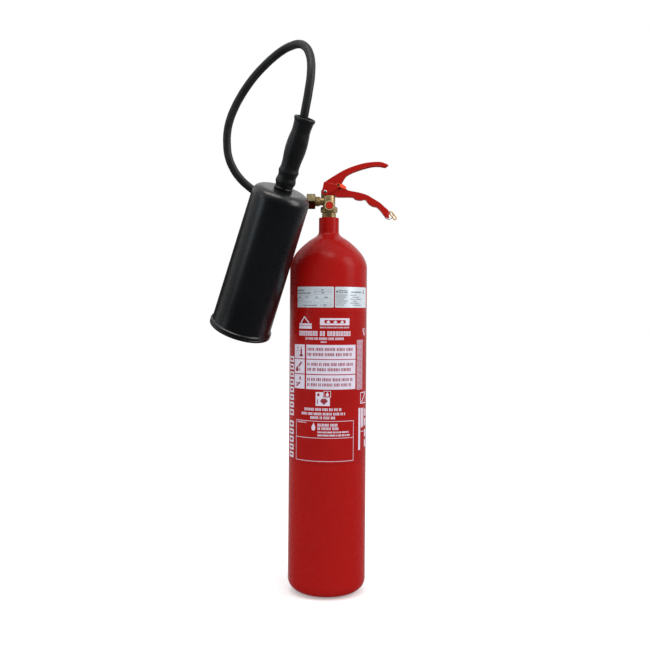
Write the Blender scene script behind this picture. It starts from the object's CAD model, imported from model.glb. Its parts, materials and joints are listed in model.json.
"""Looks of the carbon dioxide fire extinguisher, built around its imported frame.

Metres, +Z up, the front of the label faces -Y and the carry handle points along +X.
"""
import json
import math
import random

import bmesh
import bpy
from mathutils import Matrix, Vector


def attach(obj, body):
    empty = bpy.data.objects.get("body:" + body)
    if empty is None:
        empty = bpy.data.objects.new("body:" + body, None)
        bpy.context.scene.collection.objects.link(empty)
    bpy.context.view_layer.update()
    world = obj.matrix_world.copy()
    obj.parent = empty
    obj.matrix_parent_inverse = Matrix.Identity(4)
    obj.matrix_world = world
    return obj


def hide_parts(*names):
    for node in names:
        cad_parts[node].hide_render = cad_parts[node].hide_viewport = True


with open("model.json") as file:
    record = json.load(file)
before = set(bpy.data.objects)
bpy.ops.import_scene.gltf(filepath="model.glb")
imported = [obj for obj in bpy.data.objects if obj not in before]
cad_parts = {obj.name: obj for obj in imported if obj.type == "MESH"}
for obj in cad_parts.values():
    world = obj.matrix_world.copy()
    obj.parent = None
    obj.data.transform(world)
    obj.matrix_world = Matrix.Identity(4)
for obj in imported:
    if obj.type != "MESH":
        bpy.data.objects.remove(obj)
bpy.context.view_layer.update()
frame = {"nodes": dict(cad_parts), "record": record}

# ---- Driving dimensions ----

CYLINDER_R = 0.068
BASE_CURVE_R = 0.028
BASE_CURVE_H = 0.023
SHOULDER_Z = 0.568
NECK_R = 0.0177
NECK_TOP = 0.657
NECK_BORE_R = 0.0128

OUTLET_Z = 0.6863
BOSS_X = 0.0006
BOSS_Z = 0.6774
PIVOT = (-0.007, 0.7026)
PIN = (0.0158, 0.7143)
SHEET = 0.0016
LEVER_HALF = 0.0092
LEVER_STEP = 0.001
HANDLE_HALF = 0.0072
EAR_R = 0.0062
LEVER_SWING = math.radians(12)

RIVET_HOLE_R = 0.0026
PIN_HOLE_R = 0.0024
PIN_SLOT_HALF = 0.0023
PIN_EYE_Y = 0.0162
PULL_RING_R = 0.0085
PULL_WIRE_R = 0.0009

TETHER_EYE = Vector((0.0983, 0, 0.6626))
TETHER_RING_R = 0.0075
TETHER_WIRE_R = 0.0006
TETHER_TILT = math.radians(30)
LINK_ENDS = (Vector((0.11, 0, 0.6666)), Vector((0.1166, 0, 0.658)))
LINK_HALF = 0.0025
LINK_WIRE_R = 0.00105

HORN_MOUTH = Vector((-0.1533, -0.0293, 0.4598))
HORN_TOP = Vector((-0.0765, -0.1091, 0.6923))
HORN_AXIS = (HORN_TOP - HORN_MOUTH).normalized()
HORN_LENGTH = (HORN_TOP - HORN_MOUTH).length
GRIP_DATUM = HORN_LENGTH + 0.003
TUBE_HOLE_R = 0.0063

HOSE_DIAMETER = 0.014
HOSE_ROUTE = [
    (-0.0663, 0, 0.6863), (-0.08, 0, 0.6863), (-0.097, 0, 0.6875), (-0.116, 0, 0.6935),
    (-0.1405, -0.001, 0.71), (-0.1575, -0.003, 0.7255), (-0.17, -0.005, 0.7435),
    (-0.178, -0.007, 0.764), (-0.1805, -0.009, 0.7855), (-0.1795, -0.012, 0.807),
    (-0.1745, -0.015, 0.828), (-0.166, -0.018, 0.848), (-0.1555, -0.022, 0.8665),
    (-0.143, -0.0275, 0.884), (-0.1295, -0.0345, 0.8995), (-0.1145, -0.043, 0.913),
    (-0.098, -0.0545, 0.925), (-0.08, -0.0695, 0.934), (-0.0665, -0.084, 0.9365),
    (-0.0525, -0.1015, 0.935), (-0.0415, -0.1185, 0.926), (-0.034, -0.1335, 0.91),
    (-0.031, -0.1435, 0.8915), (-0.031, -0.149, 0.8765), (-0.032, -0.1515, 0.8625),
    (-0.034, -0.1525, 0.849), (-0.036, -0.152, 0.836), (-0.0385, -0.1505, 0.823),
    (-0.041, -0.148, 0.8095), (-0.0458, -0.141, 0.7853), (-0.0506, -0.136, 0.7708),
]

LABEL_BACK_R = 0.0681
FILM_R = 0.0686
TEXT_SEED = 11

ALONG_X = Matrix.Translation((0, 0, OUTLET_Z)) @ Matrix.Rotation(math.pi / 2, 4, "Y")
ALONG_Y = Matrix.Rotation(-math.pi / 2, 4, "X")
HORN_TURN = Vector((0, 0, 1)).rotation_difference(HORN_AXIS).to_matrix().to_4x4()
ALONG_HORN = Matrix.Translation(HORN_MOUTH) @ HORN_TURN
PIN_PLACE = Matrix.Translation((PIN[0], 0, PIN[1])) @ ALONG_Y
BOSS_PLACE = Matrix.Translation((BOSS_X, 0, BOSS_Z)) @ ALONG_Y

CAMERA_PLACE = (-0.0048, -1.592, 0.4977)
CAMERA_ROLL = math.radians(-0.435)
CAMERA_LENS = 49.8
CAMERA_SHIFT = (-0.0009, -0.026)

FLOOR_HALF = 6
DOME_R = 6.0
DOME_PALER_ALONG = (0, 0.6, 0.7)
DOME_SPAN = (-0.25, 0.9)
DOME_TONES = (0.02, 0.9)
FLAG_AT = (-0.9, 0.7, 0.75)
FLAG_SIZE = (1.3, 0.5)
FLAG_TONE = 0.02

COAT_ROUGHNESS = 0.12
NOISE_MIDDLE = (0.3, 0.7)


# ---- Camera, floor and light ----

def set_inputs(node, values):
    """Sets a node's own values, by the names of its sockets."""
    for name, value in values.items():
        node.inputs[name].default_value = value


def make_camera():
    """A level camera in front of the label, slightly rolled."""
    data = bpy.data.cameras.new("photo_camera")
    data.lens = CAMERA_LENS
    data.sensor_width = 36
    data.shift_x, data.shift_y = CAMERA_SHIFT
    camera = bpy.data.objects.new("photo_camera", data)
    camera.location = CAMERA_PLACE
    camera.rotation_euler = (math.pi / 2, CAMERA_ROLL, 0)
    bpy.context.scene.collection.objects.link(camera)
    bpy.context.scene.camera = camera


def make_light(name, place, target, size, watts, colour):
    """A soft rectangular light that faces its target."""
    data = bpy.data.lights.new(name, "AREA")
    data.shape = "RECTANGLE"
    data.size, data.size_y = size
    data.energy = watts
    data.color = colour
    light = bpy.data.objects.new(name, data)
    light.location = place
    aim = Vector(target) - Vector(place)
    light.rotation_euler = aim.to_track_quat("-Z", "Y").to_euler()
    bpy.context.scene.collection.objects.link(light)


def make_studio():
    """A white room with three soft lights. Shiny surfaces see cards instead of the room."""
    world = bpy.data.worlds.new("studio")
    world.use_nodes = True
    set_inputs(world.node_tree.nodes["Background"], {"Color": (1, 1, 1, 1), "Strength": 1.0})
    bpy.context.scene.world = world
    bpy.context.scene.view_settings.view_transform = "Standard"
    make_light("key_softbox", (1.9, -0.75, 1.5), (0, 0, 0.5), (1.0, 1.8), 24, (1, 0.98, 0.96))
    make_light("side_softbox", (-1.9, -0.9, 1.1), (-0.1, 0, 0.6), (0.35, 1.8), 4, (0.8, 0.92, 1))
    make_light("top_softbox", (-0.2, -0.7, 2.3), (0, 0, 0.6), (1.3, 0.4), 13, (1, 0.97, 0.92))
    make_reflection_cards()


def place_mesh(name, bm):
    """Turns a mesh under construction into an object of the scene."""
    mesh = bpy.data.meshes.new(name)
    bm.to_mesh(mesh)
    bm.free()
    made = bpy.data.objects.new(name, mesh)
    bpy.context.scene.collection.objects.link(made)
    return made


def make_reflection_cards():
    """A dome that only reflections see, dark in front and pale behind, and a dark flag on the left."""
    dome = bmesh.new()
    bmesh.ops.create_uvsphere(dome, u_segments=48, v_segments=24, radius=DOME_R)
    flag = bmesh.new()
    bmesh.ops.create_grid(flag, x_segments=1, y_segments=1, size=0.5)
    upright = Matrix.Rotation(math.pi / 2, 4, "X") @ Matrix.Diagonal((*FLAG_SIZE, 1, 1))
    bmesh.ops.transform(flag, verts=flag.verts, matrix=Matrix.Translation(FLAG_AT) @ upright)
    for name, bm, material in (("reflection_dome", dome, graded_card()),
                               ("reflection_flag", flag, plain_card())):
        card = place_mesh(name, bm)
        card.data.materials.append(material)
        card.visible_camera = False
        card.visible_diffuse = False
        card.visible_shadow = False
        card.visible_transmission = False


def plain_card(name="plain_card"):
    """Matt paint in one dark tone."""
    material = bpy.data.materials.new(name)
    material.use_nodes = True
    shader = material.node_tree.nodes["Principled BSDF"]
    set_inputs(shader, {"Roughness": 1.0, "Specular IOR Level": 0.0,
                        "Base Color": (FLAG_TONE, FLAG_TONE, FLAG_TONE, 1)})
    return material


def graded_card():
    """Matt paint that goes from dark in front and below to pale behind and above."""
    material = plain_card("graded_card")
    nodes, links = material.node_tree.nodes, material.node_tree.links
    along = nodes.new("ShaderNodeVectorMath")
    along.operation = "DOT_PRODUCT"
    along.inputs[1].default_value = DOME_PALER_ALONG
    links.new(nodes.new("ShaderNodeTexCoord").outputs["Object"], along.inputs[0])
    graded = nodes.new("ShaderNodeMapRange")
    set_inputs(graded, {"From Min": DOME_SPAN[0] * DOME_R, "From Max": DOME_SPAN[1] * DOME_R,
                        "To Min": DOME_TONES[0], "To Max": DOME_TONES[1]})
    links.new(along.outputs["Value"], graded.inputs["Value"])
    links.new(graded.outputs["Result"], nodes["Principled BSDF"].inputs["Base Color"])
    return material


def make_floor(material):
    """A floor that reflections leave out, so that shiny surfaces see the dome there."""
    bm = bmesh.new()
    bmesh.ops.create_grid(bm, x_segments=24, y_segments=24, size=FLOOR_HALF)
    floor = place_mesh("studio_floor", bm)
    floor.data.materials.append(material)
    floor.visible_glossy = False


# ---- Materials ----

def noise(nodes, links, coordinates, scale, detail):
    """A noise over the coordinates, from 0 to 1."""
    texture = nodes.new("ShaderNodeTexNoise")
    set_inputs(texture, {"Scale": scale, "Detail": detail})
    links.new(coordinates, texture.inputs["Vector"])
    return texture.outputs["Fac"]


def spread(nodes, links, value, low, high):
    """Maps the middle of a noise onto a range."""
    ranged = nodes.new("ShaderNodeMapRange")
    set_inputs(ranged, {"From Min": NOISE_MIDDLE[0], "From Max": NOISE_MIDDLE[1], "To Min": low,
                        "To Max": high})
    links.new(value, ranged.inputs["Value"])
    return ranged.outputs["Result"]


def finish(name, colour, roughness, metallic=0.0, tint=0.12, blotch=45, grain=900, depth=0.00002,
           stretch=(1, 1, 1), rough_spread=0.03, coat=0.0, specular=0.5, bump=0.5, glow=0.0):
    """A finish with slow colour changes, uneven gloss and a fine grain, all from the surface's own place."""
    material = bpy.data.materials.new(name)
    material.use_nodes = True
    nodes, links = material.node_tree.nodes, material.node_tree.links
    shader = nodes["Principled BSDF"]
    set_inputs(shader, {"Metallic": metallic, "Specular IOR Level": specular,
                        "Emission Color": (1, 1, 1, 1), "Emission Strength": glow, "Coat Weight": coat,
                        "Coat Roughness": COAT_ROUGHNESS})
    place = nodes.new("ShaderNodeTexCoord").outputs["Object"]
    mapping = nodes.new("ShaderNodeMapping")
    mapping.inputs["Scale"].default_value = stretch
    links.new(place, mapping.inputs["Vector"])

    ramp = nodes.new("ShaderNodeValToRGB")
    ramp.color_ramp.elements[0].position = NOISE_MIDDLE[0]
    ramp.color_ramp.elements[1].position = NOISE_MIDDLE[1]
    ramp.color_ramp.elements[0].color = (*[c * (1 - tint) for c in colour], 1)
    ramp.color_ramp.elements[1].color = (*[min(1, c * (1 + tint)) for c in colour], 1)
    links.new(noise(nodes, links, place, blotch, 5), ramp.inputs["Fac"])
    links.new(ramp.outputs["Color"], shader.inputs["Base Color"])

    gloss = noise(nodes, links, mapping.outputs["Vector"], grain * 0.2, 3)
    uneven = spread(nodes, links, gloss, roughness - rough_spread, roughness + rough_spread)
    links.new(uneven, shader.inputs["Roughness"])

    relief = nodes.new("ShaderNodeBump")
    set_inputs(relief, {"Strength": bump, "Distance": depth})
    links.new(noise(nodes, links, mapping.outputs["Vector"], grain, 4), relief.inputs["Height"])
    links.new(relief.outputs["Normal"], shader.inputs["Normal"])
    return material


def make_finishes():
    """One finish for each material slot of the record, and those that only show in print.
    """
    table = {
        "red_paint": ((0.272, 0.0042, 0.0034), 0.28,
                      dict(tint=0.04, blotch=7, grain=420, depth=0.000006, coat=0.03, specular=0.1)),
        "lever_red": ((0.3, 0.0042, 0.002), 0.32,
                      dict(tint=0.03, blotch=30, grain=500, depth=0.000003, specular=0.14)),
        "brass": ((0.4, 0.29, 0.14), 0.4,
                  dict(metallic=0.8, tint=0.25, blotch=210, depth=0.000015, rough_spread=0.08)),
        "bright_brass": ((0.62, 0.48, 0.26), 0.35,
                         dict(metallic=0.4, tint=0.15, blotch=300, depth=0.000008)),
        "yellow_zinc": ((0.15, 0.125, 0.07), 0.36,
                        dict(metallic=1, tint=0.22, blotch=150, depth=0.000008, rough_spread=0.08)),
        "steel": ((0.58, 0.58, 0.58), 0.26, dict(metallic=1, tint=0.08, depth=0.000005)),
        "black_rubber": ((0.0085, 0.009, 0.0098), 0.5, dict(tint=0.25, depth=0.000015, specular=0.4)),
        "grip_rubber": ((0.0045, 0.005, 0.006), 0.4, dict(tint=0.25, depth=0.00001, specular=0.45)),
        "black_plastic": ((0.0035, 0.0042, 0.0054), 0.3,
                          dict(tint=0.2, blotch=14, grain=800, depth=0.000005, specular=0.6)),
        "red_plastic": ((0.42, 0.012, 0.003), 0.35,
                        dict(tint=0.1, blotch=200, grain=700, depth=0.00001, specular=0.2)),
        "orange_plastic": ((0.75, 0.06, 0.015), 0.35, dict(tint=0.1, grain=700, depth=0.00001)),
        "seal_rubber": ((0.02, 0.02, 0.02), 0.6, dict(tint=0.2, grain=1500)),
        "white_plastic": ((0.75, 0.75, 0.71), 0.4, dict(tint=0.05, grain=1500)),
        "silver_foil": ((0.6, 0.66, 0.72), 0.34,
                        dict(metallic=0.35, tint=0.07, blotch=30, stretch=(1, 1, 12), depth=0.000004)),
        "label_film": ((0.255, 0.0042, 0.0036), 0.26,
                       dict(tint=0.05, blotch=18, grain=260, depth=0.000008, coat=0.04, specular=0.11)),
        "gold_wire": ((0.75, 0.42, 0.025), 0.3, dict(metallic=0.6, tint=0.12, depth=0.000005)),
        "white_print": ((0.5, 0.46, 0.55), 0.4, dict(tint=0.05, blotch=150, depth=0.000006)),
        "red_print": ((0.23, 0.012, 0.022), 0.4, dict(tint=0.08, blotch=150, depth=0.000006)),
        "dark_print": ((0.05, 0.055, 0.065), 0.5, dict(tint=0.2, blotch=200, depth=0.000006)),
        "grey_print": ((0.17, 0.19, 0.22), 0.5, dict(tint=0.15, blotch=200, depth=0.000006)),
        "floor": ((0.8, 0.8, 0.8), 0.7, dict(tint=0.01, blotch=3, grain=60, glow=0.26)),
    }
    return {name: finish(name, colour, roughness, **more)
            for name, (colour, roughness, more) in table.items()}


# ---- Mesh helpers ----

def bezier(a, b, c, d, steps):
    """Points on a cubic curve from a to d, with b and c as its handles."""
    points = []
    for i in range(steps + 1):
        t = i / steps
        u = 1 - t
        weights = (u ** 3, 3 * u * u * t, 3 * u * t * t, t ** 3)
        points.append(tuple(sum(w * p[k] for w, p in zip(weights, (a, b, c, d))) for k in range(2)))
    return points


def arc(centre, radius, start, end, steps):
    """Points on an arc from one angle to another, in degrees."""
    angles = [math.radians(start + (end - start) * i / steps) for i in range(steps + 1)]
    return [(centre[0] + radius * math.cos(a), centre[1] + radius * math.sin(a)) for a in angles]


def smooth_line(points, steps):
    """A Catmull-Rom curve through the points, with the same number of steps between each two."""
    padded = [points[0], *points, points[-1]]
    line = []
    for p0, p1, p2, p3 in zip(padded, padded[1:], padded[2:], padded[3:]):
        for i in range(steps):
            t = i / steps
            line.append(tuple(
                0.5 * (2 * b + (c - a) * t + (2 * a - 5 * b + 4 * c - d) * t * t
                       + (3 * b - a - 3 * c + d) * t ** 3)
                for a, b, c, d in zip(p0, p1, p2, p3)))
    return [*line, points[-1]]


def evenly(points, count):
    """The same line with points at even spacing along its length."""
    runs = [math.dist(a, b) for a, b in zip(points, points[1:])]
    total = sum(runs)
    spaced = [points[0]]
    i, passed = 0, 0.0
    for k in range(1, count):
        goal = total * k / count
        while passed + runs[i] < goal:
            passed += runs[i]
            i += 1
        t = (goal - passed) / runs[i]
        spaced.append(tuple(a + (b - a) * t for a, b in zip(points[i], points[i + 1])))
    return [*spaced, points[-1]]


def hexagon(across_flats, turn):
    """How far a hexagon reaches at an angle, with a corner at the turn, in degrees."""
    def reach(angle):
        within = (angle - math.radians(turn)) % (math.pi / 3) - math.pi / 6
        return across_flats / 2 / math.cos(within)
    return reach


def join_rings(bm, rings, closed):
    """Adds the faces between rings of equal length. A ring can be one vertex, repeated."""
    pairs = list(zip(rings, rings[1:]))
    if closed:
        pairs.append((rings[-1], rings[0]))
    for low, high in pairs:
        for i in range(len(low)):
            j = (i + 1) % len(low)
            corners = dict.fromkeys([low[i], low[j], high[j], high[i]])
            if len(corners) > 2:
                bm.faces.new(list(corners))


def turn_solid(bm, profile, sides, place=Matrix.Identity(4), reach=None, closed=False):
    """Adds a solid of revolution. The profile is (radius, height) pairs, and reach can cut its section."""
    rings = []
    for radius, height in profile:
        if radius < 1e-7:
            rings.append([bm.verts.new(place @ Vector((0, 0, height)))] * sides)
            continue
        ring = []
        for i in range(sides):
            angle = 2 * math.pi * i / sides
            r = min(radius, reach(angle)) if reach else radius
            ring.append(bm.verts.new(place @ Vector((r * math.cos(angle), r * math.sin(angle), height))))
        rings.append(ring)
    join_rings(bm, rings, closed)


def turned(name, profile, sides, place=Matrix.Identity(4), reach=None, closed=False):
    """A solid of revolution as its own object."""
    bm = bmesh.new()
    turn_solid(bm, profile, sides, place, reach, closed)
    return mesh_object(name, bm)


def plate(name, outline, y0, y1, rounding):
    """A flat plate in X and Z as its own object, with its edges rounded."""
    bm = bmesh.new()
    slab(bm, outline, y0, y1)
    made = mesh_object(name, bm)
    round_edges(made, rounding)
    return made


def slab(bm, outline, y0, y1):
    """Adds a flat outline in X and Z as a plate from y0 to y1."""
    near = [bm.verts.new((x, y0, z)) for x, z in outline]
    far = [bm.verts.new((x, y1, z)) for x, z in outline]
    bm.faces.new(near)
    bm.faces.new(list(reversed(far)))
    for i in range(len(outline)):
        j = (i + 1) % len(outline)
        bm.faces.new([near[i], far[i], far[j], near[j]])


def wire_loop(bm, spine, radius, sides=14):
    """Adds a closed wire along a loop of points."""
    count = len(spine)
    points = [Vector(p) for p in spine]
    normal = (points[count // 4] - points[0]).cross(points[count // 2] - points[0]).normalized()
    rings = []
    for i, point in enumerate(points):
        along = (points[(i + 1) % count] - points[i - 1]).normalized()
        side = along.cross(normal).normalized()
        angles = [2 * math.pi * k / sides for k in range(sides)]
        rings.append([bm.verts.new(point + radius * (math.cos(a) * side + math.sin(a) * normal))
                      for a in angles])
    join_rings(bm, rings, closed=True)


def mesh_object(name, bm):
    """Places a closed mesh with its faces turned outwards."""
    bmesh.ops.recalc_face_normals(bm, faces=bm.faces)
    return place_mesh(name, bm)


def bake_modifiers(made):
    """Keeps the shape that the modifiers give, and removes them."""
    graph = bpy.context.evaluated_depsgraph_get()
    mesh = bpy.data.meshes.new_from_object(made.evaluated_get(graph))
    made.modifiers.clear()
    made.data = mesh


def cut_away(made, cutters):
    """Cuts the shapes of other meshes out of this one, and removes them."""
    for number, bm in enumerate(cutters):
        cutter = mesh_object(f"{made.name}_cutter_{number}", bm)
        cut = made.modifiers.new("cut", "BOOLEAN")
        cut.operation = "DIFFERENCE"
        cut.solver = "EXACT"
        cut.object = cutter
        bake_modifiers(made)
        bpy.data.objects.remove(cutter)


def round_edges(made, width, segments=2, angle=40):
    """Bevels the edges that are sharper than the angle, in degrees."""
    bevel = made.modifiers.new("round", "BEVEL")
    bevel.width = width
    bevel.segments = segments
    bevel.limit_method = "ANGLE"
    bevel.angle_limit = math.radians(angle)
    bake_modifiers(made)


def add_piece(made, finish_name, body, nodes=(), sharp=38):
    """Gives a mesh its finish and its body, and has it stand for its CAD nodes."""
    made.data.materials.clear()
    made.data.materials.append(FINISHES[finish_name])
    made.data.shade_smooth()
    made.data.set_sharp_from_angle(angle=math.radians(sharp))
    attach(made, body)
    if nodes:
        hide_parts(*nodes)
    return made


def rod(radius, half_length, sides, place):
    """A plain rod centred on its place, to cut a hole with."""
    bm = bmesh.new()
    turn_solid(bm, [(0, -half_length), (radius, -half_length), (radius, half_length), (0, half_length)],
               sides, place)
    return bm


def rod_cutter(radius, x, z):
    """A rod across the whole valve, along Y."""
    return rod(radius, 0.02, 32, Matrix.Translation((x, 0, z)) @ ALONG_Y)


def circle_points(centre, radius, turn=Matrix.Identity(4), steps=64):
    """A circle about a centre, in the XZ plane until it is turned."""
    angles = [2 * math.pi * i / steps for i in range(steps)]
    return [centre + turn @ Vector((radius * math.cos(a), 0, radius * math.sin(a))) for a in angles]


# ---- Hose ----

def make_hose():
    """The hose as one cord through the points of its route."""
    curve = bpy.data.curves.new("hose_cord", "CURVE")
    curve.dimensions = "3D"
    curve.bevel_depth = HOSE_DIAMETER / 2
    curve.bevel_resolution = 10
    curve.resolution_u = 14
    curve.use_fill_caps = True
    line = curve.splines.new("BEZIER")
    line.bezier_points.add(len(HOSE_ROUTE) - 1)
    for knot, place in zip(line.bezier_points, HOSE_ROUTE):
        knot.co = place
        knot.handle_left_type = "AUTO"
        knot.handle_right_type = "AUTO"
    hose = bpy.data.objects.new("hose_cord", curve)
    bpy.context.scene.collection.objects.link(hose)
    curve.materials.append(FINISHES["black_rubber"])
    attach(hose, "discharge")
    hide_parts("hose")


# ---- Cylinder ----

def make_cylinder():
    """One turned shell, with its side divided in even steps."""
    edge = 0.0009
    flat = CYLINDER_R - BASE_CURVE_R
    flat_inset = 0.004
    bore_floor = 0.65
    side_steps = 10
    side_step = (SHOULDER_Z - BASE_CURVE_H) / side_steps
    shoulder_end = (0.036, 0.6155)
    profile = [(0, 0), (flat - flat_inset, 0)]
    profile += [(flat + BASE_CURVE_R * r, BASE_CURVE_H * h) for r, h in arc((0, 1), 1, -90, 0, 22)]
    profile += [(CYLINDER_R, BASE_CURVE_H + side_step * i) for i in range(1, side_steps)]
    profile += bezier((CYLINDER_R, SHOULDER_Z), (CYLINDER_R, SHOULDER_Z + 0.017), (0.054, 0.601),
                      shoulder_end, 26)
    profile += bezier(shoulder_end, (0.027, 0.6227), (NECK_R, 0.6245), (NECK_R, 0.633), 16)[1:]
    profile += arc((NECK_R - edge, NECK_TOP - edge), edge, 0, 90, 5)
    profile += [(NECK_BORE_R, NECK_TOP), (NECK_BORE_R, bore_floor), (0, bore_floor)]
    cylinder = turned("cylinder_body", profile, 128)
    add_piece(cylinder, "red_paint", "root", ["cylinder_shell"])


# ---- Valve ----

def make_valve():
    """The forging with its hexagon, boss and threaded outlet, and the two cheeks that hold the rivet."""
    bm = bmesh.new()
    turn_solid(bm, [
        (0, 0.652), (0.0123, 0.652), (0.0123, 0.6574), (0.0122, 0.6576), (0.0126, 0.658),
        (0.0126, 0.6604), (0.012, 0.6609), (0.012, 0.6616), (0.0126, 0.6621), (0.0126, 0.6641),
        (0.0121, 0.6646), (0.0113, 0.6652), (0.0111, 0.666), (0.0111, 0.6775),
        (0.011, 0.6785), (0.011, 0.6952), (0.0106, 0.696), (0.0098, 0.6964), (0, 0.6964),
    ], 72)
    hexagon_flats = 0.02598
    turn_solid(bm, [
        (0, 0.6658), (0.012, 0.6658), (0.0134, 0.6662), (0.015, 0.6674), (0.015, 0.6754),
        (0.0134, 0.6766), (0.012, 0.677), (0, 0.677),
    ], 72, reach=hexagon(hexagon_flats, 0))
    turn_solid(bm, [
        (0, 0), (0.0094, 0), (0.0092, -0.0098), (0.0085, -0.0116), (0.0085, -0.0182),
        (0.0083, -0.019), (0.0078, -0.0195), (0.0073, -0.0195), (0.0069, -0.019), (0.0067, -0.0172),
        (0, -0.0172),
    ], 64, BOSS_PLACE)
    root, crest, pitch = 0.0083, 0.0089, 0.0014
    thread = []
    for i in range(10):
        x = -0.031 + pitch * i
        thread += [(root, x), (crest, x + 0.5 * pitch)]
    turn_solid(bm, [(0, -0.0312), *thread, (root, -0.017), (0.0072, -0.0165), (0.007, -0.015),
                    (0.0071, -0.0115), (0.0078, -0.0095), (0.0078, 0), (0, 0)], 64, ALONG_X)
    add_piece(mesh_object("valve_forging", bm), "brass", "root", ["valve_body"], sharp=32)
    foot_z, back_x = 0.6864, -0.0144
    inner_y, outer_y = 0.003, 0.0052
    outline = [(back_x, foot_z), (0, foot_z), *arc(PIVOT, 0.007, 0, 144, 18),
               (back_x, PIVOT[1] + 0.0025)]
    for name, y0, y1 in (("near", -outer_y, -inner_y), ("far", inner_y, outer_y)):
        add_piece(plate(f"valve_cheek_{name}", outline, y0, y1, 0.0004), "brass", "root")


def make_burst_cap():
    """The red cap in the boss, and the brass rim that stands round it."""
    cap = turned("burst_cap", [
        (0, -0.0203), (0.0018, -0.0203), (0.0022, -0.02), (0.0044, -0.02), (0.0048, -0.0203),
        (0.0054, -0.0202), (0.0059, -0.0197), (0.006, -0.019), (0.006, -0.0176), (0, -0.0176),
    ], 48, BOSS_PLACE)
    add_piece(cap, "red_plastic", "root", ["burst_disc_cap"])
    rim = turned("boss_rim", [
        (0.0066, -0.0192), (0.0069, -0.0197), (0.0078, -0.0197), (0.0083, -0.0192),
    ], 48, BOSS_PLACE, closed=True)
    add_piece(rim, "bright_brass", "root")


def make_union_nut():
    """A hollow hexagon over the thread, with its corners turned down at both ends."""
    left, right = -0.0397, -0.0243
    flats = 0.027
    corner = flats / math.sqrt(3)
    bore, tail_hole = 0.0092, 0.0058
    nut = turned("union_nut_hex", [
        (tail_hole, left + 0.0004), (0.0062, left), (flats / 2 - 0.0006, left), (corner, left + 0.0013),
        (corner, right - 0.0013), (flats / 2 - 0.0006, right), (bore + 0.0004, right),
        (bore, right - 0.0005), (bore, -0.036), (tail_hole, -0.036),
    ], 96, ALONG_X, reach=hexagon(flats, 36), closed=True)
    round_edges(nut, 0.0003, angle=25)
    add_piece(nut, "yellow_zinc", "root", ["union_nut"], sharp=28)


def make_hose_fittings():
    """The nipple inside the hose, and the ferrule with its four crimped bands."""
    nipple = turned("hose_tail_nipple", [
        (0.0024, -0.064), (0.0038, -0.064), (0.0038, -0.046), (0.005, -0.0458), (0.0052, -0.0452),
        (0.0052, -0.0357), (0.0088, -0.0357), (0.0088, -0.0328), (0.0024, -0.0328),
    ], 48, ALONG_X, closed=True)
    add_piece(nipple, "brass", "discharge", ["hose_tail"])
    crimps = []
    for i in range(4):
        x = -0.064 + 0.0041 * i
        crimps += [(0.009, x), (0.009, x + 0.0022), (0.0086, x + 0.0027), (0.0086, x + 0.0035)]
    crimped = turned("hose_ferrule_crimped", [
        (0.0071, -0.066), (0.0085, -0.066), (0.0089, -0.0656), *crimps, (0.009, -0.0474),
        (0.0086, -0.0464), (0.008, -0.0463), (0.0054, -0.0463), (0.0054, -0.06), (0.0071, -0.06),
    ], 64, ALONG_X, closed=True)
    add_piece(crimped, "steel", "discharge", ["hose_ferrule"])


# ---- Horn and grip ----

def make_horn():
    """The bell, with the rolled rim and the groove at its mouth."""
    wall = 0.0024
    top_r, mouth_r = 0.0492, 0.0517
    shoulder = 0.016
    straight = HORN_LENGTH - shoulder
    rim = 0.0118
    outside = arc((0.0528, 0.0016), 0.0016, -90, 0, 6)
    outside += [(0.0544, 0.0036), (0.0539, 0.0042), (0.0539, 0.0048), (0.0544, 0.0054)]
    outside += arc((0.0528, 0.0078), 0.0016, 0, 60, 6)
    outside += [(0.0524, 0.0098), (0.0519, 0.0104), (mouth_r, rim)]
    outside += [(mouth_r + (top_r - mouth_r) * i / 8, rim + (straight - rim) * i / 8)
                for i in range(1, 8)]
    outside += arc((top_r - shoulder, straight), shoulder, 0, 90, 18)
    outside += [(TUBE_HOLE_R, HORN_LENGTH)]
    inside = [(TUBE_HOLE_R, HORN_LENGTH - wall), (top_r - shoulder, HORN_LENGTH - wall)]
    inside += arc((top_r - shoulder, straight), shoulder - wall, 90, 0, 12)[1:]
    inside += [(mouth_r - wall, rim), (0.0497, 0.0045), (0.0504, 0.001), (0.0513, 0)]
    bell = turned("horn_bell", outside + inside, 120, ALONG_HORN, closed=True)
    add_piece(bell, "black_plastic", "discharge", ["horn_shell"])


def make_horn_collar():
    """A low ring between the bell and the grip."""
    low = HORN_LENGTH + 0.0003
    ring = turned("horn_collar_ring", [
        (TUBE_HOLE_R, low), (0.015, low), (0.0154, low + 0.0004), (0.0158, low + 0.002),
        (0.0158, low + 0.0036), (0.0156, low + 0.0042), (0.0151, low + 0.0046),
        (TUBE_HOLE_R, low + 0.0046),
    ], 96, ALONG_HORN, closed=True)
    add_piece(ring, "black_plastic", "discharge", ["horn_collar"])


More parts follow.
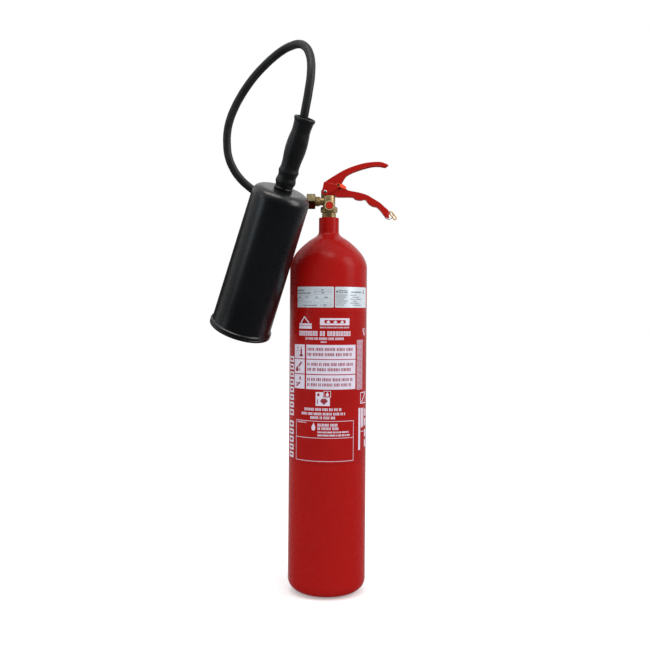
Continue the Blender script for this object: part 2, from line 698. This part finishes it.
def make_grip():
    """A turned handle with finger hollows. Its heights are measured from the grip's datum."""
    outline = [
        (0.0132, 0.0025), (0.0147, 0.0027), (0.015, 0.004), (0.0152, 0.0058), (0.016, 0.0078),
        (0.0166, 0.0096), (0.0169, 0.012), (0.0164, 0.015),
        (0.0155, 0.0182), (0.0153, 0.0205), (0.0155, 0.023), (0.0163, 0.026), (0.0169, 0.029),
        (0.0162, 0.032), (0.0154, 0.0355), (0.0154, 0.04), (0.0157, 0.047), (0.0168, 0.057),
        (0.0175, 0.068), (0.0172, 0.079), (0.0162, 0.0895), (0.0154, 0.0955), (0.0152, 0.0985),
        (0.0154, 0.104), (0.016, 0.1115), (0.0167, 0.114), (0.0175, 0.1155), (0.0177, 0.1172),
        (0.0175, 0.1187), (0.0168, 0.1198), (0.0158, 0.12),
    ]
    inside = [(0.0149, 0.1198), (0.0144, 0.119), (0.0136, 0.112), (0.0092, 0.096), (0.0092, 0.061),
              (0.0064, 0.061), (0.0064, 0.0025)]
    profile = [(r, GRIP_DATUM + s) for r, s in smooth_line(outline, 4) + inside]
    moulding = turned("grip_moulding", profile, 96, ALONG_HORN, closed=True)
    add_piece(moulding, "grip_rubber", "discharge", ["horn_grip"])


def make_nozzle():
    """The hexagonal jet inside the bell's top."""
    top = HORN_LENGTH - 0.0027
    nozzle = turned("nozzle_hex", [
        (0.0015, top - 0.0236), (0.0019, top - 0.024), (0.0072, top - 0.024), (0.008, top - 0.0232),
        (0.011, top - 0.018), (0.011, top), (TUBE_HOLE_R, top), (TUBE_HOLE_R, top - 0.015),
        (0.0015, top - 0.018),
    ], 48, ALONG_HORN, reach=hexagon(0.02, 0), closed=True)
    add_piece(nozzle, "brass", "discharge", ["horn_nozzle"])


# ---- Lever, handle and their pins ----

LEVER_TOP = [
    (0.1046, 0.751), (0.092, 0.7558), (0.078, 0.7561), (0.06, 0.7535), (0.0414, 0.7479),
    (0.0249, 0.7408), (0.0067, 0.7299), (-0.0094, 0.7193),
]
LEVER_UNDER = [
    (0.0996, 0.7472), (0.088, 0.7492), (0.076, 0.7485), (0.06, 0.7445), (0.0435, 0.7386),
    (0.034, 0.7339), (0.0286, 0.7294), (0.0247, 0.7228),
]
HANDLE_UNDER = [
    (0.1061, 0.6569), (0.0997, 0.6597), (0.0962, 0.6632), (0.0907, 0.6703), (0.0841, 0.6762),
    (0.078, 0.6774), (0.0714, 0.6808), (0.0679, 0.6844), (0.0635, 0.6893), (0.0549, 0.6881),
    (0.046, 0.6899), (0.0402, 0.6935), (0.0143, 0.6937), (0.011, 0.697),
]
HANDLE_TOP = [
    (0.1061, 0.6694), (0.1017, 0.6738), (0.0974, 0.6773), (0.0893, 0.6844), (0.0778, 0.6914),
    (0.072, 0.6949), (0.065, 0.6984), (0.0524, 0.702), (0.034, 0.7055), (0.0289, 0.709),
    (0.0285, 0.7125), (0.024, 0.7162), (0.0195, 0.7186), (0.0115, 0.7186), (0.006, 0.709),
    (-0.003, 0.7072),
]


FAR_EAR = [(-0.003, 0.6985), (0.016, 0.7045), (0.0212, 0.7062), (0.0205, 0.7128),
           (0.017, 0.712), (0, 0.7015)]


def channel(bm, stations, half_at, web_at, step_at):
    """Adds the outer skin of a folded sheet. Each station is its web point and its free edge point."""
    side_rows, bend_rows, web_rows = 34, 5, 6
    rows = []
    for web, free in stations:
        fall = Vector((free[0] - web[0], free[1] - web[1]))
        height = fall.length
        down = fall / height
        half = half_at(web[0])
        bend = min(0.0019, 0.45 * height)
        folded = web_at(web[0])
        near = []
        for k in range(side_rows + 1):
            near.append((height - (height - bend) * k / side_rows, half, True))
        for k in range(1, bend_rows + 1):
            a = math.pi / 2 * k / bend_rows
            if folded:
                near.append((bend * (1 - math.sin(a)), half - bend * (1 - math.cos(a)), False))
            else:
                near.append((bend * (1 - k / bend_rows), half, True))
        points = []
        for s, y, flat in near:
            x, z = web[0] + down.x * s, web[1] + down.y * s
            points.append((x, -y - (step_at(x, z) if flat else 0), z))
        inner = near[-1][1]
        middle = [(web[0], -inner + 2 * inner * k / web_rows, web[1]) for k in range(1, web_rows)]
        mirrored = [(x, -y, z) for x, y, z in reversed(points)]
        row = [bm.verts.new(p) for p in points + (middle if folded else []) + mirrored]
        rows.append((row, folded))
    plate = side_rows + bend_rows + 1
    for (low, low_folded), (high, high_folded) in zip(rows, rows[1:]):
        if low_folded and high_folded:
            spans = [(low, high)]
        else:
            spans = [(low[:plate], high[:plate]), (low[-plate:], high[-plate:])]
        for a, b in spans:
            for k in range(len(a) - 1):
                bm.faces.new([a[k], a[k + 1], b[k + 1], b[k]])
    loose = [v for v in bm.verts if not v.link_faces]
    bmesh.ops.delete(bm, geom=loose, context="VERTS")


def thicken(made, inside):
    """Turns the skin into a sheet, with its thickness towards the inside point."""
    face = max(made.data.polygons, key=lambda p: abs(p.normal.y) * p.area)
    inward = Vector(inside) - face.center
    solid = made.modifiers.new("sheet", "SOLIDIFY")
    solid.thickness = SHEET
    solid.use_even_offset = True
    solid.offset = 1 if face.normal.dot(inward) > 0 else -1
    bake_modifiers(made)


def lever_step(x, z):
    """How far the lever's ears are stepped outwards at a point, below a sloping line."""
    start_x, start_z = -0.0078, 0.7193
    fall, blend = 0.1966, 0.0009
    line_z = start_z - fall * (x - start_x)
    t = max(0, min(1, (line_z - z) / blend + 0.5))
    return LEVER_STEP * t * t * (3 - 2 * t)


def narrowing(tip_x, half, by, length):
    """The half width of a sheet at an X. It narrows over the last stretch before its tip."""
    def half_at(x):
        t = max(0, 1 - (tip_x - x) / length)
        return half - by * t * t
    return half_at


def make_lever():
    """The pressed channel with its two ears, and a plate that makes the far ear deeper."""
    under = smooth_line(LEVER_UNDER, 8)
    ear = [LEVER_UNDER[-1], (0.0206, 0.7164), (0.0204, 0.7135), (0.0182, 0.7101),
           *arc(PIVOT, EAR_R, 306, 180, 20), (-0.0096, 0.7188)]
    top = smooth_line(LEVER_TOP, 12)
    ears_start_x = LEVER_TOP[5][0]
    split = min(range(len(top)), key=lambda i: abs(top[i][0] - ears_start_x))
    front = list(zip(evenly(top[:split + 1], 90), evenly(under, 90)))
    back = list(zip(evenly(top[split:], 60), evenly(ear, 60)))
    half_at = narrowing(LEVER_TOP[0][0], LEVER_HALF, 0.0014, 0.006)
    bm = bmesh.new()
    channel(bm, front + back[1:], half_at, lambda x: True, lever_step)
    lever = mesh_object("lever_pressing", bm)
    thicken(lever, (0.03, 0, 0.735))
    cut_away(lever, [rod_cutter(PIN_HOLE_R, *PIN), rod_cutter(RIVET_HOLE_R, *PIVOT)])
    round_edges(lever, 0.00035, angle=50)
    add_piece(lever, "lever_red", "lever", ["squeeze_lever"])
    deeper = plate("lever_far_ear", FAR_EAR, 0.0087, 0.0101, 0.0003)
    add_piece(deeper, "lever_red", "lever")


def pin_slot_cutter():
    """The band that the safety pin sweeps when the lever turns about its rivet."""
    offset = (PIN[0] - PIVOT[0], PIN[1] - PIVOT[1])
    arm = math.hypot(*offset)
    high = math.degrees(math.atan2(offset[1], offset[0]))
    low = high - math.degrees(LEVER_SWING)
    half = PIN_SLOT_HALF
    upper, lower = [arc(PIVOT, arm, a, a, 1)[0] for a in (high, low)]
    outline = arc(PIVOT, arm + half, low, high, 14)
    outline += arc(upper, half, high, high + 180, 12)[1:]
    outline += arc(PIVOT, arm - half, high, low, 14)[1:]
    outline += arc(lower, half, low + 180, low + 360, 12)[1:-1]
    bm = bmesh.new()
    slab(bm, outline, -0.01, 0.01)
    return bm


def height_on(line, x):
    """The line's Z at an X. The line runs towards -X."""
    for (x0, z0), (x1, z1) in zip(line, line[1:]):
        if x1 <= x <= x0:
            return z0 if x0 == x1 else z0 + (z1 - z0) * (x0 - x) / (x0 - x1)
    return line[-1][1]


def make_handle():
    """The lower channel, open on top, with its two ears at the rivet."""
    ear_r = 0.0056
    web_end_x = 0.003
    under = smooth_line(HANDLE_UNDER, 8) + arc(PIVOT, ear_r, 270, 181, 14)
    top = smooth_line(HANDLE_TOP[:10], 8) + HANDLE_TOP[10:] + arc(PIVOT, ear_r, 90, 179, 14)
    first, last = HANDLE_UNDER[0][0], PIVOT[0] - 0.0055
    count = 170
    xs = [first + (last - first) * i / count for i in range(count + 1)]
    stations = [((x, height_on(under, x)), (x, height_on(top, x))) for x in xs]
    half_at = narrowing(first, HANDLE_HALF, 0.0018, 0.005)
    bm = bmesh.new()
    channel(bm, stations, half_at, lambda x: x > web_end_x, lambda x, z: 0)
    handle = mesh_object("handle_pressing", bm)
    thicken(handle, (0.03, 0, 0.7))
    eye = rod(0.004, 0.007, 32, Matrix.Translation(TETHER_EYE) @ Matrix.Rotation(math.pi / 4, 4, "Y"))
    cut_away(handle, [pin_slot_cutter(), rod_cutter(RIVET_HOLE_R, *PIVOT), eye])
    round_edges(handle, 0.00035, angle=50)
    add_piece(handle, "lever_red", "root", ["carry_handle"])


def make_rivet():
    """A plain shank with a domed head at each end."""
    head = 0.0105
    dome = [(0.0031, 0), (0.00305, 0.0005), (0.0028, 0.0009), (0.0023, 0.0014), (0.0015, 0.00175),
            (0.0007, 0.0019), (0, 0.0019)]
    profile = [(r, -head - h) for r, h in reversed(dome)] + [(0.0023, -head), (0.0023, head)]
    profile += [(r, head + h) for r, h in dome]
    rivet = turned("lever_rivet", profile, 40, Matrix.Translation((PIVOT[0], 0, PIVOT[1])) @ ALONG_Y)
    add_piece(rivet, "steel", "root", ["pivot_rivet"])


def make_safety_pin():
    """A turned pin, with a cross hole in its head for the pull ring."""
    pin = turned("safety_pin_turned", [
        (0, -0.0126), (0.0009, -0.0126), (0.0013, -0.0124), (0.0018, -0.012), (0.002, -0.0115),
        (0.002, 0.0109), (0.0034, 0.0109), (0.0036, 0.0111), (0.0036, 0.0203), (0.0033, 0.0208),
        (0.0027, 0.0212), (0, 0.0212),
    ], 40, PIN_PLACE)
    eye_place = Matrix.Translation((PIN[0], PIN_EYE_Y, PIN[1])) @ Matrix.Rotation(math.pi / 2, 4, "Y")
    cut_away(pin, [rod(0.0019, 0.006, 28, eye_place)])
    add_piece(pin, "yellow_zinc", "pin", ["safety_pin"])


def make_pull_ring():
    """A wire ring that hangs in the pin's eye."""
    slack = 0.0002
    centre = Vector((PIN[0], PIN_EYE_Y, PIN[1] + slack - PULL_RING_R))
    bm = bmesh.new()
    wire_loop(bm, circle_points(centre, PULL_RING_R), PULL_WIRE_R)
    add_piece(mesh_object("pull_ring_wire", bm), "steel", "ring", ["pull_ring"])


def make_tamper_seal():
    """A flat tab with an eye round the pin's tip."""
    outline = [(0.0232, 0.7156), (0.019, 0.7162)]
    outline += arc(PIN, 0.0033, 36, 306, 24)
    outline += [(0.0204, 0.7096), (0.029, 0.707), (0.0295, 0.7074), (0.0299, 0.7109), (0.0296, 0.7113)]
    bm = bmesh.new()
    slab(bm, outline, -0.0117, -0.0105)
    seal = mesh_object("seal_tab", bm)
    cut_away(seal, [rod_cutter(0.0025, *PIN)])
    round_edges(seal, 0.0003)
    add_piece(seal, "orange_plastic", "lever", ["tamper_seal"])


def make_tether():
    """The tilted ring in the handle's tip, and the long link that hangs from it."""
    centre = TETHER_EYE + Vector((TETHER_RING_R, 0, 0))
    tilt = Matrix.Rotation(TETHER_TILT, 4, "X")
    bm = bmesh.new()
    wire_loop(bm, circle_points(centre, TETHER_RING_R, tilt), TETHER_WIRE_R)
    add_piece(mesh_object("tether_ring_wire", bm), "steel", "tether", ["tether_ring"])

    top, bottom = LINK_ENDS
    run = (bottom - top).normalized()
    across = Vector((0, 1, 0)).cross(run)
    bend_steps = 16
    spine = []
    for centre, start in ((bottom, -math.pi / 2), (top, math.pi / 2)):
        for i in range(bend_steps + 1):
            a = start + math.pi * i / bend_steps
            spine.append(centre + LINK_HALF * (math.cos(a) * run + math.sin(a) * across))
    bm = bmesh.new()
    wire_loop(bm, spine, LINK_WIRE_R)
    add_piece(mesh_object("tether_link_wire", bm), "gold_wire", "link", ["tether_link"])


# ---- Labels ----

PANEL_ROWS = ((0.4112, 0.4352), (0.3855, 0.4098), (0.3596, 0.3839))


def wrapped(name, outlines, low_r, high_r, finish_name, nodes=()):
    """Thin print wrapped on the cylinder. An outline is (degrees from the front, Z) pairs.

    It is cut in strips while flat, so that it bends evenly, and then given its thickness.
    """
    strips, strip_turn, strip_offset = 40, 2.4, 0.07
    bm = bmesh.new()
    for outline in outlines:
        bm.faces.new([bm.verts.new((math.radians(a) * FILM_R, 0, z)) for a, z in outline])
    for k in range(-strips, strips + 1):
        u = math.radians(strip_turn * k + strip_offset) * FILM_R
        geometry = bm.verts[:] + bm.edges[:] + bm.faces[:]
        bmesh.ops.bisect_plane(bm, geom=geometry, plane_co=(u, 0, 0), plane_no=(1, 0, 0), dist=1e-7)
    bmesh.ops.recalc_face_normals(bm, faces=bm.faces)
    raised = bmesh.ops.extrude_face_region(bm, geom=bm.faces[:])
    for v in (g for g in raised["geom"] if isinstance(g, bmesh.types.BMVert)):
        v.co.y = 1
    for v in bm.verts:
        angle = v.co.x / FILM_R
        r = high_r if v.co.y > 0.5 else low_r
        v.co = Vector((r * math.sin(angle), -r * math.cos(angle), v.co.z))
    add_piece(mesh_object(name, bm), finish_name, "root", nodes)


def rect(a0, a1, z0, z1):
    """A box from one angle to another, in degrees, and from one height to another."""
    return [(a0, z0), (a1, z0), (a1, z1), (a0, z1)]


def frame_lines(a0, a1, z0, z1, line):
    """The four lines of a box, of that width in metres."""
    turn = math.degrees(line / FILM_R)
    return [rect(a0, a1, z0, z0 + line), rect(a0, a1, z1 - line, z1),
            rect(a0, a0 + turn, z0 + line, z1 - line), rect(a1 - turn, a1, z0 + line, z1 - line)]


def text_blocks(a0, a1, z0, z1, rng, fine=False):
    """A line of plain blocks grouped like words, which stands for a line of print."""
    turn = math.degrees((z1 - z0) / FILM_R)
    gap = turn * (0.12 if fine else 0.2)
    word_gap = turn * 0.35
    blocks = []
    a = a0
    while a < a1:
        for _ in range(rng.randint(2, 8)):
            width = turn * rng.uniform(0.24, 0.4)
            if a + width > a1:
                return blocks
            blocks.append(rect(a, a + width, z0, z1))
            a += width + gap
        a += word_gap
    return blocks


def text_rows(rows, rng, fine=False):
    """Several lines of print, each given as its two angles and its two heights."""
    return [block for row in rows for block in text_blocks(*row, rng, fine=fine)]


def hollow_blocks(a0, a1, z0, z1, line, words):
    """Large print as hollow boxes, one for each letter of the given word lengths."""
    turn = math.degrees(line / FILM_R)
    word_gap = 0.7
    width = (a1 - a0) / (sum(words) + word_gap * (len(words) - 1))
    blocks = []
    a = a0
    for letters in words:
        for _ in range(letters):
            blocks += frame_lines(a, a + width - 0.8 * turn, z0, z1, line)
            a += width
        a += word_gap * width
    return blocks


def flame(a, z, width, height):
    """A plain flame drop, of that width in degrees and height in metres."""
    shape = [(0, 0), (0.28, 0.04), (0.46, 0.2), (0.48, 0.4), (0.36, 0.62), (0.2, 0.78), (0.12, 1),
             (-0.06, 0.84), (-0.3, 0.62), (-0.46, 0.4), (-0.44, 0.18), (-0.26, 0.04)]
    return [(a + width * x, z + height * y) for x, y in shape]


def make_film():
    """The clear sheet under the print. One upper corner is cut low, and rounded where it steps."""
    left, step, right = -74, -50, 78
    low, step_z, high = 0.2327, 0.443, 0.4909
    turns = [math.radians(t) for t in (0, 22, 45, 67, 90)]
    corner = [(step + 9 * (math.cos(t) - 1), step_z + 0.006 * (1 - math.sin(t))) for t in turns]
    outline = [(left, low), (right, low), (right, high), (step, high), *corner, (left, step_z)]
    wrapped("label_film_sheet", [outline], LABEL_BACK_R, FILM_R, "label_film",
            ["instruction_label"])


def heading_print(rng):
    """A triangle, a framed row of flame drops, and the title with its small lines."""
    blocks = [rect(-46.2, -24.2, 0.4624, 0.4672), rect(-46.2, -24.2, 0.468, 0.4713),
              [(-44, 0.4722), (-41.5, 0.4722), (-36.5, 0.4812), (-29.5, 0.4722), (-27.5, 0.4722),
               (-36.7, 0.4842)]]
    left, right = -11.9, 31.7
    low, high = 0.4718, 0.4775
    blocks += [rect(left, right, high, 0.4806), rect(left, right, 0.4687, low),
               rect(left, -5.5, low, high), rect(25.5, right, low, high)]
    blocks += [flame(a, 0.4722, 5.5, 0.0049) for a in (0, 10, 20)]
    blocks += text_blocks(-11.8, right, 0.4636, 0.466, rng)
    blocks += hollow_blocks(-46.1, 34.4, 0.4505, 0.4585, 0.0014, (8, 2, 9))
    return blocks + text_rows([(-34.1, 23.7, 0.4437, 0.4479), (-10.6, -2.3, 0.4388, 0.4414)], rng)


def panel_print(rng):
    """The white panels, the hazard squares and the box with a flame drop at the label's foot."""
    blocks = []
    for low, high in PANEL_ROWS:
        blocks += [rect(-56.6, -35.4, low, high), rect(-32.6, 43.3, low, high)]
    blocks += [rect(-17.4, -6.6, 0.3455, 0.3552), rect(-17.4, 3.0, 0.3318, 0.3455)]
    blocks += frame_lines(-5.8, 4.4, 0.3462, 0.3573, 0.0008)
    blocks.append(flame(-0.7, 0.348, 4.6, 0.0075))
    blocks += text_rows([(-35.1, 21.5, 0.3233, 0.3279), (-40.2, 27.0, 0.3158, 0.3203),
                         (-25.3, 12.6, 0.3092, 0.3139)], rng)
    blocks += frame_lines(-51.6, 40.6, 0.2372, 0.306, 0.0008)
    blocks += [rect(-51.0, 40.0, 0.2766, 0.2774), flame(-20.6, 0.2895, 6.2, 0.014)]
    blocks += text_rows([(-14.3, 17.0, 0.2967, 0.3016), (-14.3, 17.0, 0.291, 0.2955)], rng)
    return blocks + text_rows([(-14.3, 33.1, 0.2856, 0.2884), (-14.3, 35.6, 0.2802, 0.2832),
                               (-48.5, -31.8, 0.3018, 0.3034)], rng, fine=True)


def left_column_print(rng):
    """Large print that runs up the cylinder, as two words of hollow boxes."""
    line, letter_gap, word_gap = 0.0031, 0.0034, 0.0060
    blocks = []
    z = 0.2390
    for letters in (5, 8):
        for _ in range(letters):
            tall = rng.uniform(0.0086, 0.0104)
            blocks += frame_lines(-72.5, -58.5, z, z + tall, line)
            z += tall + letter_gap
        z += word_gap
    return blocks


def right_column_print(rng):
    """Fine print, a small crown shape, a crossed box and the bars below it."""
    line, spacing, top = 0.0013, 0.0021, 0.4440
    blocks = []
    z = 0.3580
    while z < top:
        blocks += text_blocks(46.2, 61.0, z, z + line, rng, fine=True)
        z += spacing
    blocks += [[(60.2, 0.4631), (63.2, 0.46), (66.0, 0.451), (64.4, 0.4506), (61.6, 0.4575)],
               [(70.0, 0.4631), (68.8, 0.46), (66.2, 0.451), (67.2, 0.4506), (69.6, 0.4575)],
               rect(63.6, 66.2, 0.461, 0.4634)]
    blocks += frame_lines(55.2, 72.6, 0.333, 0.3528, 0.0014)
    blocks.append([(57.2, 0.335), (59.6, 0.335), (70.6, 0.3508), (68.2, 0.3508)])
    blocks += [rect(50.9, 55.5, 0.2537, 0.326), rect(57.0, 60.4, 0.2915, 0.3253),
               rect(61.4, 65.0, 0.293, 0.3253)]
    blocks += [rect(68.6, 74.5, low, low + 0.0125) for low in (0.3105, 0.294, 0.2745, 0.257)]
    return blocks + text_blocks(56.5, 66.5, 0.284, 0.2855, rng, fine=True)


def make_white_print():
    """All the white print, drawn in a fixed order so that the random blocks repeat."""
    rng = random.Random(TEXT_SEED)
    white = []
    for area in (heading_print, panel_print, left_column_print, right_column_print):
        white += area(rng)
    wrapped("label_print_white", white, FILM_R - 0.00004, FILM_R + 0.00005, "white_print")


def make_red_print():
    """Rows of text and simple pictures on the white panels: pull the pin, aim the horn, squeeze."""
    rng = random.Random(TEXT_SEED + 1)
    red = []
    for low, high in PANEL_ROWS:
        middle = (low + high) / 2
        red += text_blocks(-30.7, 39.5, middle + 0.0018, middle + 0.007, rng)
        red += text_blocks(-30.7, 36.5, middle - 0.007, middle - 0.0018, rng)
    first, second, third = [low for low, high in PANEL_ROWS]
    red += [rect(a0, a1, first + low, first + high) for a0, a1, low, high in (
        (-43.5, -40.5, 0.004, 0.0165), (-45.2, -39.0, 0.0035, 0.007),
        (-43.0, -40.8, 0.018, 0.02), (-50.5, -47.6, 0.0172, 0.0192))]
    red += frame_lines(-52.5, -47.0, first + 0.003, first + 0.014, 0.0006)
    red += [flame(-50.5, second + 0.003, 6.5, 0.01), rect(-45.5, -44.2, second + 0.004, second + 0.009),
            [(-48.5, second + 0.012), (-46.6, second + 0.0105), (-40.0, second + 0.0185),
             (-42.2, second + 0.0208)]]
    red += [[(-53.5, third + 0.004), (-50.5, third + 0.0036), (-42.8, third + 0.0098),
             (-45.4, third + 0.0118)], rect(-52.6, -49.5, third + 0.0085, third + 0.0108),
            [(-44.0, third + 0.0145), (-41.5, third + 0.0175), (-42.6, third + 0.0175),
             (-42.6, third + 0.0205), (-45.2, third + 0.0205), (-45.2, third + 0.0175),
             (-46.2, third + 0.0175)]]
    red += [[(-11.0, 0.3396), (-5.4, 0.3336), (0.2, 0.3396), (-2.2, 0.344), (-8.6, 0.344)],
            flame(-13.6, 0.348, 4.4, 0.0062), rect(-15.6, -14.2, 0.335, 0.343)]
    wrapped("label_print_red", red, FILM_R - 0.00001, FILM_R + 0.00009, "red_print")


def make_plates():
    """Two foil plates side by side, with their corners cut."""
    z0, z1 = 0.4987, 0.5341
    inset, drop = 0.9, 0.0011
    for side, a0, a1 in (("left", -50.8, 7.7), ("right", 9.5, 71.8)):
        outline = [(a0, z0 + drop), (a0 + inset, z0), (a1 - inset, z0), (a1, z0 + drop),
                   (a1, z1 - drop), (a1 - inset, z1), (a0 + inset, z1), (a0, z1 - drop)]
        wrapped(f"rating_plate_{side}_foil", [outline], LABEL_BACK_R, FILM_R, "silver_foil",
                [f"rating_plate_{side}"])


def make_plate_print():
    """Dark lines of print and grey boxes on the two plates."""
    rng = random.Random(TEXT_SEED + 2)
    rows = [(-50, -37.3, 0.5267, 0.5288), (-50, -26.2, 0.522, 0.5239)]
    rows += [(a0, a1, 0.5152, 0.5169) for a0, a1 in ((-48, -43), (-35, -30), (-18.5, -15), (-6, 0))]
    rows += [(-38, -16, 0.5014, 0.5031), (-7.5, -3, 0.5016, 0.5034), (-10, -7, 0.5272, 0.5289),
             (-10, -6, 0.5226, 0.5243)]
    dark = text_rows(rows, rng, fine=True)
    dark.append(flame(12.1, 0.5238, 2.8, 0.005))
    dark += text_rows([(14.4, 29, 0.5266, 0.5288), (14.4, 29, 0.5236, 0.5257)], rng)
    dark += text_blocks(34.5, 56, 0.5242, 0.5264, rng, fine=True)
    dark += [rect(60.0, 63.5, 0.5232, 0.5258), rect(60.6, 63.0, 0.5272, 0.529)]
    top, spacing, line = 0.5195, 0.0034, 0.0013
    for i in range(6):
        z = top - spacing * i
        dark += text_blocks(10.8, 29.2 - 3 * (i % 3), z, z + line, rng, fine=True)
        dark += text_blocks(33 + 4 * (i % 2), 45 + 5 * (i % 3), z, z + line, rng, fine=True)
    wrapped("plate_print_dark", dark, FILM_R - 0.00003, FILM_R + 0.00005, "dark_print")
    grey = []
    for box in ((-20.2, 4.2, 0.526, 0.5299), (-20.2, 4.2, 0.5213, 0.5254),
                (-49.2, -38.1, 0.5094, 0.5145), (-35.4, -24.5, 0.5061, 0.5094),
                (-21.2, -10.4, 0.5061, 0.5138), (-7.9, 3.6, 0.5061, 0.5142), (-11.6, 4.4, 0.5008, 0.5042)):
        grey += frame_lines(*box, 0.0004)
    grey.append(rect(-50.2, -22, 0.5183, 0.5186))
    wrapped("plate_print_grey", grey, FILM_R - 0.00003, FILM_R + 0.00004, "grey_print")


# ---- Assembly ----

def paint_cad_nodes():
    """Every CAD node gets its slot's finish, also where a finer piece stands for it."""
    for subpart in frame["record"]["subparts"]:
        node = frame["nodes"][subpart["node"]]
        node.data.materials.clear()
        node.data.materials.append(FINISHES[subpart["material_slot"]])
        node.data.shade_smooth()
        node.data.set_sharp_from_angle(angle=math.radians(35))


FINISHES = make_finishes()
make_camera()
make_hose()
make_studio()
make_floor(FINISHES["floor"])
paint_cad_nodes()
make_cylinder()
make_valve()
make_burst_cap()
make_union_nut()
make_hose_fittings()
make_horn()
make_horn_collar()
make_grip()
make_nozzle()
make_lever()
make_handle()
make_rivet()
make_safety_pin()
make_pull_ring()
make_tamper_seal()
make_tether()
make_film()
make_white_print()
make_red_print()
make_plates()
make_plate_print()

bpy.context.view_layer.update()
